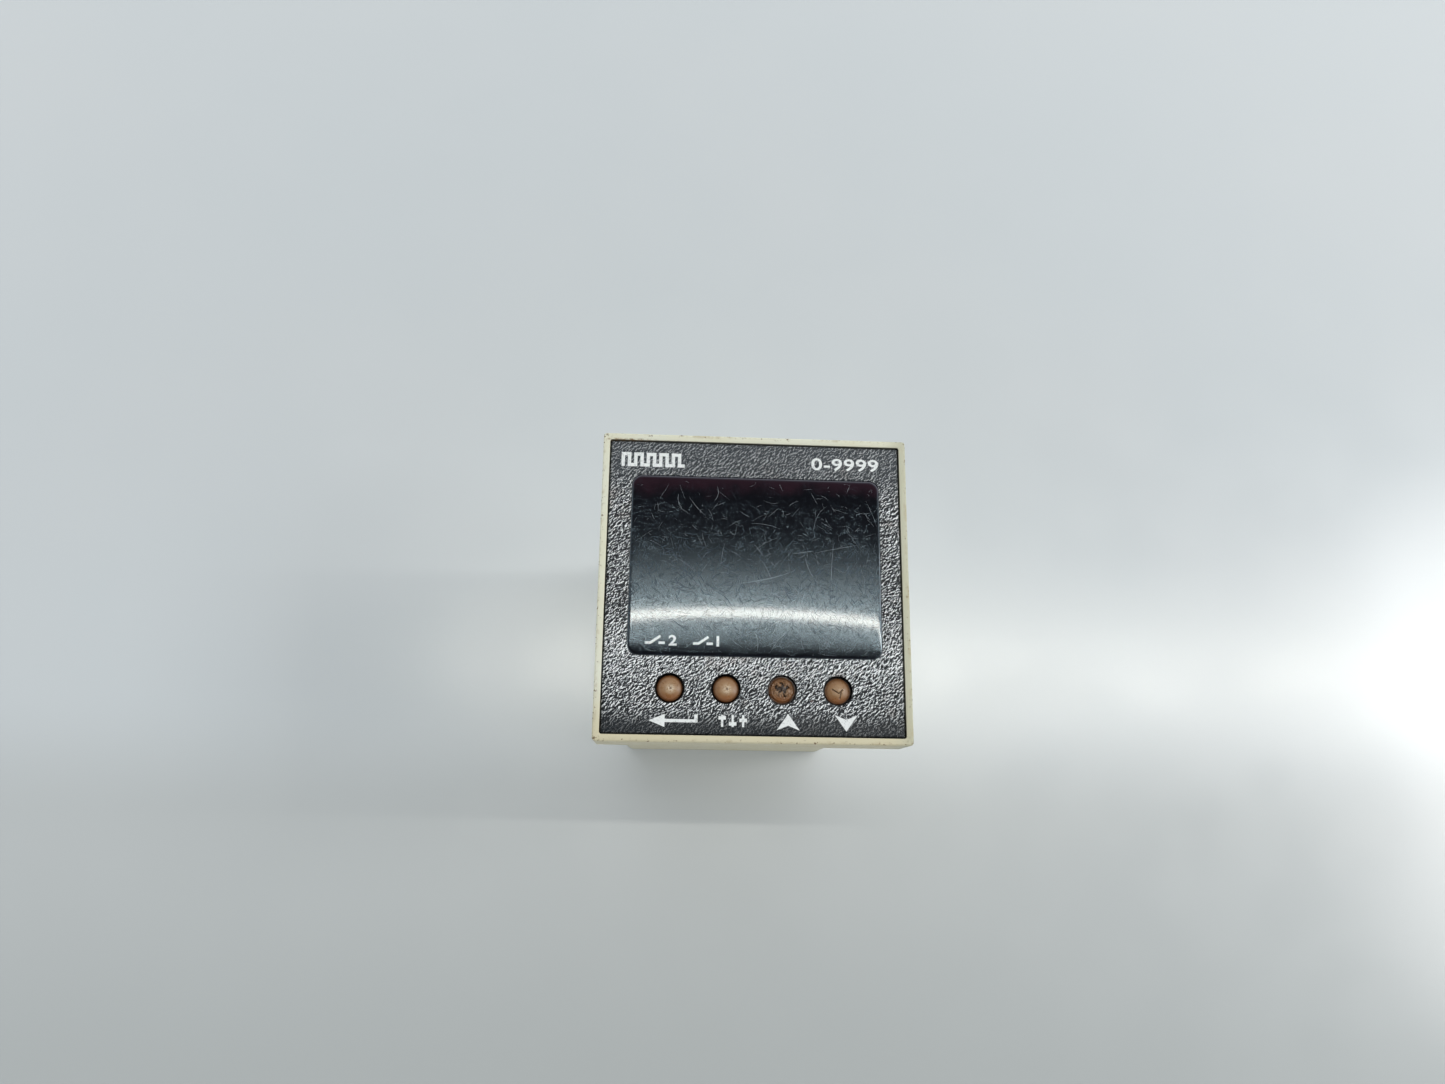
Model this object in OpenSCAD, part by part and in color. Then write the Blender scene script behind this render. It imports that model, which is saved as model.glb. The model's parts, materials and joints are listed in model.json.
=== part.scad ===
// Panel-mount frequency and speed meter, 72 x 72 mm face, with two relay outputs.
// Millimetres. +Z is out of the display, +Y is the top of the display, +X its right side.
// The origin is the centre of the rear rim, so the meter stands on its back with the face up.

/* [Bezel] */
// Width and height of the square bezel
bezel_w = 72; // [71.5:0.5:74]
// Depth of the bezel, from its front rim to the face that lies on the panel
bezel_t = 12; // [11:0.5:13]
// Width of the bezel's rim around the front plate
rim_w = 1.55; // [1.3:0.05:1.8]
// Radius of the bezel's upright corners
bezel_r = 0.9; // [0.5:0.1:1.5]
// Chamfer along the rim's outer edge
rim_chamfer = 0.3; // [0.1:0.05:0.5]

/* [Case] */
// Overall depth, from the rear rim to the front rim
depth = 110; // [108:1:116]
// Width and height of the square collar that locates the meter in its panel cut-out
collar_w = 67; // [66.5:0.25:67.5]
// Length of the collar behind the bezel
collar_len = 36; // [34:1:38]
// Width of the tube that holds the electronics
tube_w = 63.5; // [63:0.25:65]
// Height of the tube that holds the electronics
tube_h = 62; // [61.5:0.25:64]
// Wall thickness of the collar and of the tube
wall = 2; // [1.6:0.1:2.1]
// Radius of the tube's upright corners
tube_r = 3; // [2.5:0.5:4]

/* [Front plate] */
// Gap between the front plate and the rim
plate_gap = 0.25; // [0.15:0.05:0.3]
// Thickness of the front plate
plate_t = 2.5; // [2.2:0.1:2.8]
// Distance of the plate's face below the rim
plate_recess = 0.4; // [0.3:0.1:0.6]
// Width of the display window
window_w = 58.5; // [57:0.25:58.5]
// Height of the display window
window_h = 42.75; // [40:0.25:43]
// Distance of the window's centre to the right of the plate's centre
window_x = 0.25; // [0:0.05:0.3]
// Height of the window's centre above the plate's centre
window_y = 4.6; // [4.4:0.1:4.8]
// Radius of the window's corners
window_r = 2.4; // [2:0.1:3]

/* [Buttons] */
// Distance between neighbouring button centres
button_pitch = 12.7; // [12:0.1:13]
// Height of the button row, measured from the plate's centre
button_y = -24; // [-24.5:0.1:-23.5]
// Diameter of a button's cap
button_d = 6.3; // [5.5:0.1:6.4]
// Radial gap between a cap and its hole
button_gap = 0.25; // [0.1:0.05:0.3]
// Travel of a button
button_travel = 0.5; // [0.3:0.05:0.6]

/* [Terminals] */
// Number of screw terminals in each of the two blocks
ways = 8; // [6:1:8]
// Distance between neighbouring terminals
terminal_pitch = 6.35; // [6:0.05:6.35]
// Thickness of the barrier between two terminals
barrier_t = 1.2; // [1:0.1:1.4]

/* [Hidden] */
$fn = 48;
// A small overlap that keeps cuts clean
e = 0.5;

front_z = depth;
seat_z = depth - bezel_t;
shoulder_z = seat_z - collar_len;
floor_t = 2;
plate_w = bezel_w - 2 * rim_w - 2 * plate_gap;
plate_front = front_z - plate_recess;
plate_back = plate_front - plate_t;
ledge_w = plate_w - 2;
collar_in = collar_w - 2 * wall + 0.6;
tube_in_w = tube_w - 2 * wall;
tube_in_h = tube_h - 2 * wall;

board_t = 1.6;
digit_size = [12.5, 19, 8];
digit_front = plate_back - 0.5;
board_top = digit_front - digit_size[2];
board_back = board_top - board_t;
board_w = collar_in - 1;
post_at = [29, 29.2];
post_r = 2;
post_bore_r = 1.05;

lens_lip = 0.9;
lens_lip_t = 1.2;
lens_gap = 0.1;

cap_r = button_d / 2;
cap_crown = 1.05;
cap_flange_r = cap_r + 1;
cap_flange_t = 0.8;
cap_bottom = plate_back - 2.5;
switch_w = 6;
switch_h = 3.5;
switch_bore_r = 1.8;
stem_r = 1.72;
stem_bottom = board_top + 2;

board_y = 19;
board_rear = 13.2;
board_front = board_back - 0.5;
rail_board_w = tube_in_w - 0.5;

rear_plate_z = 6.9;
rear_plate_t = 2;
boss_at = tube_in_w / 2 - 3.35;
boss_r = 3.2;

block_rear = 1.2;
block_front = 13;
block_in = 13;
block_out = 26.5;
pocket_floor = 6.7;
pocket_out = 24.5;
clamp_t = 0.8;
terminal_y = 17.6;

link_pins = 10;
link_pitch = 2.54;
link_w = link_pins * link_pitch;
link_y = board_y - 1.27;
socket_len = 8.5;

// ---------- shared shapes ----------

// Centre of button number i, from the left
function button_x(i) = (i - 1.5) * button_pitch;

// Centre of terminal number i, from the left
function terminal_x(i) = (i - (ways - 1) / 2) * terminal_pitch;

// A box from one corner to the opposite one
module block(from, to) {
    translate(from) cube(to - from);
}

// A rectangle with round corners, centred on the origin
module rounded_rect(w, h, r) {
    square([w - 2 * r, h], center = true);
    square([w, h - 2 * r], center = true);
    for (x = [-1, 1], y = [-1, 1])
        translate([x * (w / 2 - r), y * (h / 2 - r)]) circle(r);
}

// A slab with round corners, from height z0 up to height z1
module slab(w, h, r, z0, z1) {
    translate([0, 0, z0]) linear_extrude(z1 - z0) rounded_rect(w, h, r);
}

// Cuts a chamfer of size c along the upper outer edges of a square of width w whose top is at z
module chamfer_cut(w, c, z) {
    for (a = [0:90:270])
        rotate(a)
            translate([w / 2, 0, z])
                rotate([90, 0, 0])
                    linear_extrude(w + 2, center = true)
                        polygon([[-c - 1, 1], [1, 1], [1, -c - 1]]);
}

// Places a child on the inner face of the power board: its z axis points up, its y axis to the front
module on_power_board(x, z) {
    translate([x, -board_y, z]) rotate([90, 0, 180]) children();
}

// Places a child on the inner face of the signal board: its z axis points down, its y axis to the front
module on_signal_board(x, z) {
    translate([x, board_y, z]) rotate([90, 0, 0]) children();
}

// A round hole or pin along z
module rod(r, z0, z1) {
    translate([0, 0, z0]) cylinder(r = r, h = z1 - z0);
}

// ---------- case ----------

// Ratchet rail for the panel clamp, on the right side of the tube
module clamp_rail() {
    tooth = 2.5;
    rail_w = 8;
    low = tube_w / 2 - e;
    high = collar_w / 2 - 0.9;
    top = collar_w / 2 - 0.2;
    count = floor((shoulder_z - 8) / tooth);
    outline = concat(
        [[low, 6], [high, 6]],
        [for (i = [0:count - 1], p = [[high, 6 + i * tooth], [top, 6 + (i + 0.9) * tooth]]) p],
        [[high, 6 + count * tooth], [low, 6 + count * tooth]]
    );
    rotate([90, 0, 0]) linear_extrude(rail_w, center = true) polygon(outline);
}

// A pair of ribs that guide one board's edge, on the right side of the tube
module board_guide() {
    rib = [1.35, 1, shoulder_z - board_rear - 2];
    for (y = [board_y - 0.15 - rib[1], board_y + board_t + 0.15])
        translate([tube_in_w / 2 - rib[0] + 0.1, y, board_rear + 1]) cube(rib);
}

// A screw boss on the right side wall of the tube
module case_boss() {
    z0 = rear_plate_z + rear_plate_t;
    translate([boss_at, 0, 0]) rod(boss_r, z0, z0 + 15);
    block([boss_at, -1.5, z0], [tube_in_w / 2 + 0.1, 1.5, z0 + 15]);
}

module case_outside() {
    slab(bezel_w, bezel_w, bezel_r, seat_z, front_z);
    slab(collar_w, collar_w, 2, shoulder_z, seat_z + e);
    slab(tube_w, tube_h, tube_r, 0, shoulder_z + e);
    for (a = [0, 180]) rotate(a) clamp_rail();
}

module case_inside() {
    slab(plate_w + 2 * plate_gap, plate_w + 2 * plate_gap, 0.6, plate_back, front_z + e);
    slab(ledge_w, ledge_w, 1, seat_z + floor_t, front_z);
    slab(collar_in, collar_in, 1.5, shoulder_z + floor_t, front_z);
    slab(tube_in_w, tube_in_h, 1.5, -e, front_z - bezel_t);
}

// Ventilation slots through the top and bottom walls of the tube
module vent_slots() {
    for (x = [-21:6:21])
        block([x - 1, -tube_h, 30], [x + 1, tube_h, 50]);
}

// Pockets in the bezel's side walls for the front plate's snap hooks
module snap_pockets() {
    for (x = [-1, 1])
        translate([x * (ledge_w / 2 + 0.3), 0, plate_back - 4.6]) cube([1.4, 11, 2.4], center = true);
}

module case_shell() {
    color([0.83, 0.81, 0.72]) difference() {
        union() {
            difference() {
                case_outside();
                case_inside();
                vent_slots();
                snap_pockets();
                chamfer_cut(bezel_w, rim_chamfer, front_z);
            }
            for (x = [0, 1], y = [0, 1])
                mirror([x, 0, 0]) mirror([0, y, 0]) board_guide();
            for (a = [0, 180]) rotate(a) case_boss();
        }
        for (x = [-1, 1])
            translate([x * boss_at, 0, 0]) rod(1.1, rear_plate_z, rear_plate_z + 14);
    }
}

// ---------- front ----------

// A hook behind the plate's right edge that snaps into the bezel's pocket
module snap_hook() {
    outer = ledge_w / 2 - 0.15;
    z1 = plate_back + 0.1;
    z0 = plate_back - 6;
    profile = [
        [outer, z1], [outer, z0 + 2.4], [outer + 0.7, z0 + 1.6],
        [outer, z0], [outer - 0.9, z0], [outer - 0.9, z1]
    ];
    rotate([90, 0, 0]) linear_extrude(10, center = true) polygon(profile);
}

module front_plate() {
    color([0.13, 0.13, 0.14]) difference() {
        union() {
            slab(plate_w, plate_w, 0.6, plate_back, plate_front);
            for (x = [-1, 1], y = [-1, 1])
                translate([x * post_at[0], y * post_at[1], 0]) rod(post_r, board_top, plate_back + e);
            for (a = [0, 180]) rotate(a) snap_hook();
        }
        chamfer_cut(plate_w, 0.25, plate_front);
        translate([window_x, window_y, 0]) {
            slab(window_w, window_h, window_r, plate_back - e, plate_front + e);
            slab(window_w + 2 * lens_lip, window_h + 2 * lens_lip, window_r + lens_lip,
                 plate_back - e, plate_back + lens_lip_t);
        }
        for (i = [0:3])
            translate([button_x(i), button_y, 0])
                rod(cap_r + button_gap, plate_back - e, plate_front + e);
        for (x = [-1, 1], y = [-1, 1])
            translate([x * post_at[0], y * post_at[1], 0])
                rod(post_bore_r, board_top - e, board_top + 6);
    }
}

module display_window() {
    w = window_w - 2 * lens_gap;
    h = window_h - 2 * lens_gap;
    lip_w = window_w + 2 * lens_lip - 2 * lens_gap;
    lip_h = window_h + 2 * lens_lip - 2 * lens_gap;
    edge = plate_front - 0.1;
    crown = front_z - 0.02;
    color([0.16, 0.05, 0.08]) translate([window_x, window_y, 0]) {
        slab(lip_w, lip_h, window_r + 0.8, plate_back, plate_back + lens_lip_t - lens_gap);
        hull() {
            slab(w, h, window_r, plate_back, edge);
            slab(w - 0.6, h - 0.6, window_r - 0.3, edge, edge + 0.2);
            slab(w - 8, h - 8, window_r, edge, crown - 0.06);
            slab(w - 24, h - 20, window_r, edge, crown);
        }
    }
}

// ---------- buttons and their switches ----------

module button_cap(i) {
    edge = plate_front - cap_crown;
    dome_r = (cap_r * cap_r + cap_crown * cap_crown) / (2 * cap_crown);
    dome_a = asin(cap_r / dome_r);
    steps = 6;
    dome = [for (k = [0:steps]) let (a = dome_a * (1 - k / steps))
        [dome_r * sin(a), plate_front - dome_r * (1 - cos(a))]];
    profile = concat(
        [[0, cap_bottom], [cap_r - 0.4, cap_bottom],
         [cap_r - 0.4, plate_back - cap_flange_t - 0.1],
         [cap_flange_r, plate_back - cap_flange_t - 0.1], [cap_flange_r, plate_back - 0.1],
         [cap_r, plate_back - 0.1], [cap_r, edge - 0.01]],
        dome
    );
    color([0.62, 0.42, 0.3])
        translate([button_x(i), button_y, 0]) rotate_extrude() polygon(profile);
}

module enter_button() { button_cap(0); }
module set_button() { button_cap(1); }
module up_button() { button_cap(2); }
module down_button() { button_cap(3); }

// The fixed housing of a tactile switch, with four solder feet
module switch_body(i) {
    foot = [1.2, 0.7, 0.2];
    color([0.16, 0.16, 0.17]) translate([button_x(i), button_y, board_top]) {
        difference() {
            slab(switch_w, switch_w, 0.4, 0, switch_h);
            rod(switch_bore_r, 0.8, switch_h + e);
        }
        for (x = [-1, 1], y = [-1, 1])
            translate([x * (switch_w / 2 + foot[0] / 2 - 0.1), y * 2.25, foot[2] / 2])
                cube(foot, center = true);
    }
}

module enter_switch() { switch_body(0); }
module set_switch() { switch_body(1); }
module up_switch() { switch_body(2); }
module down_switch() { switch_body(3); }

// The stem that a button pushes into its switch, with a collar that keeps it in
module switch_stem(i) {
    color([0.75, 0.74, 0.7]) translate([button_x(i), button_y, 0])
        rod(stem_r, stem_bottom, cap_bottom);
}

module enter_stem() { switch_stem(0); }
module set_stem() { switch_stem(1); }
module up_stem() { switch_stem(2); }
module down_stem() { switch_stem(3); }

// ---------- display board ----------

module display_board() {
    color([0.12, 0.36, 0.2]) difference() {
        slab(board_w, board_w, 1, board_back, board_top);
        for (x = [-1, 1], y = [-1, 1])
            translate([x * post_at[0], y * post_at[1], 0]) rod(1.2, board_back - e, board_top + e);
    }
}

module display_screws() {
    color([0.7, 0.7, 0.68])
        for (x = [-1, 1], y = [-1, 1])
            translate([x * post_at[0], y * post_at[1], 0]) difference() {
                union() {
                    rod(1.9, board_back - 1.3, board_back);
                    rod(1, board_back - e, board_top + 5);
                }
                for (a = [0, 90])
                    rotate(a) translate([0, 0, board_back - 1.3]) cube([2.2, 0.5, 1], center = true);
            }
}

// One bar of a seven-segment figure, centred, lying along x
module segment_bar(len, t) {
    polygon([[-len / 2, 0], [-len / 2 + t / 2, t / 2], [len / 2 - t / 2, t / 2],
             [len / 2, 0], [len / 2 - t / 2, -t / 2], [-len / 2 + t / 2, -t / 2]]);
}

// The seven bars and the point of one figure, 14.2 mm high
module figure_outline() {
    bar = 6.2;
    t = 1.5;
    lean = 8;
    for (row = [-1:1])
        translate([row * bar * tan(lean), row * (bar + 0.35)]) segment_bar(bar, t);
    for (x = [-1, 1], y = [-1, 1])
        translate([x * (bar / 2 + 0.2) + y * bar / 2 * tan(lean), y * (bar + 0.35) / 2])
            rotate(90 - lean) segment_bar(bar - 0.1, t);
    translate([bar / 2 + 1.5, -bar - 0.6]) circle(0.8);
}

module digit(i) {
    color([0.2, 0.2, 0.21]) translate([button_x(i), window_y + 3.4, board_top]) difference() {
        translate([0, 0, digit_size[2] / 2]) cube(digit_size, center = true);
        translate([-0.4, 0, digit_size[2] - 0.25]) linear_extrude(1) figure_outline();
    }
}

module digit_1() { digit(0); }
module digit_2() { digit(1); }
module digit_3() { digit(2); }
module digit_4() { digit(3); }

// A 3 mm lamp on a spacer, standing on the display board
module output_led(x) {
    top = 7.6;
    steps = 6;
    dome = [for (k = [0:steps]) let (a = 90 * k / steps) [1.5 * cos(a), top - 1.5 + 1.5 * sin(a)]];
    color([0.75, 0.1, 0.08]) translate([x, window_y - 13.6, board_top])
        rotate_extrude() polygon(concat([[0, 0], [1.9, 0], [1.9, 3.6], [1.5, 3.6]], dome));
}

module output_led_2() { output_led(-21.5); }
module output_led_1() { output_led(-10.8); }

// A chip with two rows of legs, lying on the plane z = 0 with its length along y
module chip(len, w, h, legs) {
    lift = 0.5;
    leg = [0.25, 1.1, lift + h / 2];
    translate([0, 0, lift + h / 2]) cube([w, len, h], center = true);
    for (x = [-1, 1], k = [0:legs - 1])
        translate([x * (w / 2 + leg[0] / 2 - 0.01), (k - (legs - 1) / 2) * 2.54, leg[2] / 2])
            cube(leg, center = true);
}

module display_driver() {
    color([0.12, 0.12, 0.13])
        translate([0, 2, board_back]) mirror([0, 0, 1]) rotate(90) chip(31, 6.6, 3.3, 12);
}

// ---------- inner boards ----------

module inner_board() {
    block([-rail_board_w / 2, board_y, board_rear],
          [rail_board_w / 2, board_y + board_t, board_front]);
}

module power_board() { color([0.12, 0.36, 0.2]) mirror([0, 1, 0]) inner_board(); }
module signal_board() { color([0.12, 0.36, 0.2]) inner_board(); }

// Pin socket behind the display board, above the upper inner board
module link_socket() {
    color([0.1, 0.1, 0.11]) difference() {
        block([-link_w / 2, link_y - 1.22, board_back - socket_len],
              [link_w / 2, link_y + 1.22, board_back]);
        for (k = [0:link_pins - 1])
            translate([(k - (link_pins - 1) / 2) * link_pitch, link_y, board_back - socket_len])
                cube([0.9, 0.9, 14], center = true);
    }
}

// Pins that plug the upper inner board into the link socket
module link_header() {
    plug_top = board_back - socket_len - 0.2;
    color([0.82, 0.7, 0.35]) {
        block([-link_w / 2, link_y - 1.22, plug_top - 2.5], [link_w / 2, link_y + 1.27, plug_top]);
        for (k = [0:link_pins - 1])
            translate([(k - (link_pins - 1) / 2) * link_pitch, link_y, plug_top + 2.6])
                cube([0.64, 0.64, 5.3], center = true);
    }
}

module upper_socket() { link_socket(); }
module lower_socket() { mirror([0, 1, 0]) link_socket(); }
module upper_header() { link_header(); }
module lower_header() { mirror([0, 1, 0]) link_header(); }

// ---------- power board parts ----------

core_size = [32, 15, 26.7];
core_lift = 1.5;
coil_low = core_lift + 5.6;
coil_high = core_lift + 21.1;

// A rectangular ring around the core's middle leg, from height z0 to z1
module leg_ring(out_x, out_y, in_x, in_y, z0, z1) {
    difference() {
        block([-out_x, -out_y, z0], [out_x, out_y, z1]);
        block([-in_x, -in_y, z0 - e], [in_x, in_y, z1 + e]);
    }
}

module on_transformer_place() {
    on_power_board(11, 63) children();
}

module transformer_core() {
    leg = core_size[0] / 6;
    color([0.35, 0.35, 0.37]) on_transformer_place() difference() {
        translate([0, 0, core_lift + core_size[2] / 2]) cube(core_size, center = true);
        for (x = [-1, 1])
            translate([x * 1.5 * leg, 0, core_lift + core_size[2] / 2])
                cube([leg, core_size[1] + 1, 3 * leg], center = true);
    }
}

module transformer_bobbin() {
    color([0.85, 0.82, 0.74]) on_transformer_place() {
        leg_ring(6, 8.2, 5.4, 7.6, coil_low, coil_high);
        leg_ring(10.5, 12, 5.4, 7.6, coil_low, coil_low + 0.8);
        leg_ring(10.5, 12, 5.4, 7.6, coil_high - 0.8, coil_high);
        for (y = [-12, 8])
            block([-10.5, y, 0], [10.5, y + 4, coil_low + 0.1]);
    }
}

module transformer_winding() {
    color([0.72, 0.6, 0.2]) on_transformer_place()
        leg_ring(10.3, 11.8, 6.02, 8.22, coil_low + 0.82, coil_high - 0.82);
}

module relay(x) {
    color([0.1, 0.22, 0.5]) on_power_board(x, 31) {
        translate([0, 0, 8]) cube([15, 19, 15], center = true);
        for (px = [-1, 1], py = [-1, 1])
            translate([px * 6, py * 8, 0.3]) cube([1.2, 1.2, 0.6], center = true);
    }
}

module relay_1() { relay(-19.5); }
module relay_2() { relay(-3); }

module filter_capacitor() {
    r = 8;
    h = 25;
    profile = [
        [0, 0], [r - 0.4, 0], [r, 0.5], [r, 2], [r - 0.6, 2.6], [r, 3.2],
        [r, h - 1], [r - 1, h], [r - 2, h], [r - 2, h - 0.4], [0, h - 0.4]
    ];
    color([0.1, 0.13, 0.3]) on_power_board(-19, 58) rotate_extrude() polygon(profile);
}

module bridge_rectifier() {
    color([0.14, 0.14, 0.15]) on_power_board(-19, 77) {
        rod(4.5, 1.5, 7);
        for (a = [45:90:315]) rotate(a) translate([2.5, 0, 0]) rod(0.4, 0, 1.6);
    }
}

module voltage_regulator() {
    color([0.15, 0.15, 0.16]) on_power_board(20, 82) difference() {
        union() {
            block([-5, -3.1, 3.5], [5, 0, 12.5]);
            block([-5, 0, 3.5], [5, 1.3, 19]);
            for (x = [-2.54:2.54:2.54]) block([x - 0.4, -2, 0], [x + 0.4, -1.5, 3.6]);
        }
        translate([0, -e, 16]) rotate([-90, 0, 0]) rod(1.8, 0, 3);
    }
}

module heat_sink() {
    color([0.7, 0.71, 0.72]) on_power_board(20, 82) difference() {
        union() {
            block([-8, 1.3, 0], [8, 2.8, 21]);
            for (x = [-8, 6.5]) block([x, -4.5, 0], [x + 1.5, 1.35, 21]);
        }
        translate([0, 1, 16]) rotate([-90, 0, 0]) rod(1.6, 0, 3);
    }
}

module fuse() {
    color([0.8, 0.8, 0.78]) on_power_board(21, 33) translate([0, 0, 5]) rotate([90, 0, 0]) {
        rod(2.4, -9.5, 9.5);
        for (z = [-10, 4.5]) rod(2.6, z, z + 5.5);
    }
}

module fuse_clips() {
    color([0.78, 0.72, 0.5]) on_power_board(21, 33) for (y = [-7.3, 7.3])
        difference() {
            block([-3.2, y - 2, 0], [3.2, y + 2, 6.5]);
            block([-2.75, y - 3, 0.6], [2.75, y + 3, 7]);
        }
}

module surge_absorber() {
    color([0.1, 0.3, 0.6]) on_power_board(11.5, 33) {
        translate([0, 2, 8]) rotate([90, 0, 0]) rod(5, 0, 4);
        for (x = [-2.5, 2.5]) translate([x, 0, 0]) rod(0.35, 0, 4.5);
    }
}

// ---------- signal board parts ----------

module microcontroller() { color([0.11, 0.11, 0.12]) on_signal_board(10, 55) chip(52, 13.8, 3.8, 20); }
module memory_chip() { color([0.11, 0.11, 0.12]) on_signal_board(-10, 66) chip(9.6, 6.4, 3.3, 4); }

module input_isolators() {
    color([0.9, 0.9, 0.86])
        for (x = [-22, -10]) on_signal_board(x, 30) chip(7.6, 6.4, 3.3, 3);
}

module crystal() {
    color([0.75, 0.75, 0.76]) on_signal_board(-10, 50) {
        slab(11, 4.6, 2.2, 0.9, 3.6);
        slab(11.8, 5.2, 2.5, 0.4, 1);
        for (x = [-2.45, 2.45]) translate([x, 0, 0]) rod(0.25, 0, 0.6);
    }
}

// ---------- rear ----------

module rear_plate() {
    z0 = rear_plate_z;
    z1 = rear_plate_z + rear_plate_t;
    color([0.8, 0.78, 0.7]) difference() {
        slab(tube_in_w - 0.4, tube_in_h - 0.4, 1.3, z0, z1);
        for (y = [0, 1]) mirror([0, y, 0])
            block([-block_half() - 0.2, block_in - 0.2, z0 - e],
                  [block_half() + 0.2, block_out + 0.2, z1 + e]);
        for (x = [-1, 1]) translate([x * boss_at, 0, 0]) {
            rod(1.4, z0 - e, z1 + e);
            translate([0, 0, z0 - 0.01]) cylinder(r1 = 2.5, r2 = 1.4, h = 1.2);
        }
        for (x = [-15:5:15]) block([x - 0.8, -7, z0 - e], [x + 0.8, 7, z1 + e]);
    }
}

module rear_screws() {
    color([0.7, 0.7, 0.68]) for (x = [-1, 1])
        translate([x * boss_at, 0, rear_plate_z]) difference() {
            union() {
                cylinder(r1 = 2.4, r2 = 1.3, h = 1.1);
                rod(1, 0.5, 12);
            }
            for (a = [0, 90]) rotate(a) cube([2.6, 0.5, 1.2], center = true);
        }
}

// Half the length of a terminal block
function block_half() = (ways * terminal_pitch + barrier_t) / 2;

// The upper block: a row of pockets that open to the rear and to the middle of the case
module terminal_block() {
    color([0.16, 0.17, 0.18]) difference() {
        block([-block_half(), block_in, block_rear], [block_half(), block_out, block_front]);
        for (i = [0:ways - 1]) translate([terminal_x(i), 0, 0]) {
            half = (terminal_pitch - barrier_t) / 2;
            block([-half, block_in - e, block_rear - e], [half, pocket_out, pocket_floor]);
            translate([0, terminal_y, 0]) rod(1.6, pocket_floor - e, block_front - 1);
            block([-1, board_y + board_t - 0.1, pocket_floor - e],
                  [1, board_y + board_t + 0.9, block_front + e]);
        }
    }
}

// The metal plates under the upper row of screws, each with a tail soldered to its board
module terminal_plates() {
    color([0.78, 0.7, 0.42]) for (i = [0:ways - 1]) translate([terminal_x(i), 0, 0]) difference() {
        union() {
            block([-2.3, block_in + 1, pocket_floor - clamp_t], [2.3, pocket_out - 1, pocket_floor]);
            block([-0.9, board_y + board_t, pocket_floor - clamp_t],
                  [0.9, board_y + board_t + 0.8, board_rear + 5]);
        }
        translate([0, terminal_y, 0]) rod(1.6, 0, pocket_floor + e);
    }
}

// The slotted screws of the upper row
module terminal_screws() {
    seat = pocket_floor - clamp_t;
    color([0.74, 0.74, 0.72]) for (i = [0:ways - 1])
        translate([terminal_x(i), terminal_y, 0]) difference() {
            union() {
                rod(2.35, seat - 2, seat);
                rod(1.45, seat - e, block_front - 1.4);
            }
            rotate(i * 37) translate([0, 0, seat - 2]) cube([6, 0.7, 1.8], center = true);
        }
}

module upper_terminal_block() { terminal_block(); }
module lower_terminal_block() { mirror([0, 1, 0]) terminal_block(); }
module upper_terminal_plates() { terminal_plates(); }
module lower_terminal_plates() { mirror([0, 1, 0]) terminal_plates(); }
module upper_terminal_screws() { terminal_screws(); }
module lower_terminal_screws() { mirror([0, 1, 0]) terminal_screws(); }

case_shell();
front_plate();
display_window();
enter_button();
set_button();
up_button();
down_button();
enter_switch();
set_switch();
up_switch();
down_switch();
enter_stem();
set_stem();
up_stem();
down_stem();
display_board();
display_screws();
display_driver();
digit_1();
digit_2();
digit_3();
digit_4();
output_led_2();
output_led_1();
power_board();
signal_board();
lower_socket();
upper_socket();
lower_header();
upper_header();
transformer_core();
transformer_bobbin();
transformer_winding();
relay_1();
relay_2();
filter_capacitor();
bridge_rectifier();
voltage_regulator();
heat_sink();
fuse();
fuse_clips();
surge_absorber();
microcontroller();
memory_chip();
crystal();
input_isolators();
rear_plate();
rear_screws();
upper_terminal_block();
lower_terminal_block();
upper_terminal_plates();
lower_terminal_plates();
upper_terminal_screws();
lower_terminal_screws();
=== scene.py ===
"""Looks of a 72 mm panel-mount frequency meter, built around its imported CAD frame. Metres throughout."""
import json
import math
import random

import bmesh
import bpy
from mathutils import Matrix, Vector
from mathutils.geometry import delaunay_2d_cdt
from mathutils.noise import noise as wave


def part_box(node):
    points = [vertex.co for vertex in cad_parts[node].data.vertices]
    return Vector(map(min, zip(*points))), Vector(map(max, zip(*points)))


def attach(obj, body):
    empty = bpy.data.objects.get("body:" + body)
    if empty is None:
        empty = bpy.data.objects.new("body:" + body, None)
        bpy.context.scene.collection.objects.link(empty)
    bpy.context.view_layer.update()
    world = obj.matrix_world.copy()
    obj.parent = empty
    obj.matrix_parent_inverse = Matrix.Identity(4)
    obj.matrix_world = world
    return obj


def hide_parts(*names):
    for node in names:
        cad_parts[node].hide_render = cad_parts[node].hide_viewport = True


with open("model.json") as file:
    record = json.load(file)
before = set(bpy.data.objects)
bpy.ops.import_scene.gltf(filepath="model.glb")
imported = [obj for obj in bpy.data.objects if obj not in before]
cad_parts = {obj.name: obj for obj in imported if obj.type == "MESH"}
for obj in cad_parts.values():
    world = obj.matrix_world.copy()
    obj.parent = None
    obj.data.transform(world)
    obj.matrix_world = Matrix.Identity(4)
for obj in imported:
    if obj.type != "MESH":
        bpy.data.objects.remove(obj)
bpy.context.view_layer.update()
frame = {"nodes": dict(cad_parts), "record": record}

MM = 0.001
NODES = frame["nodes"]


# ---------------------------------------------------------------- places, from the frame

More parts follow.
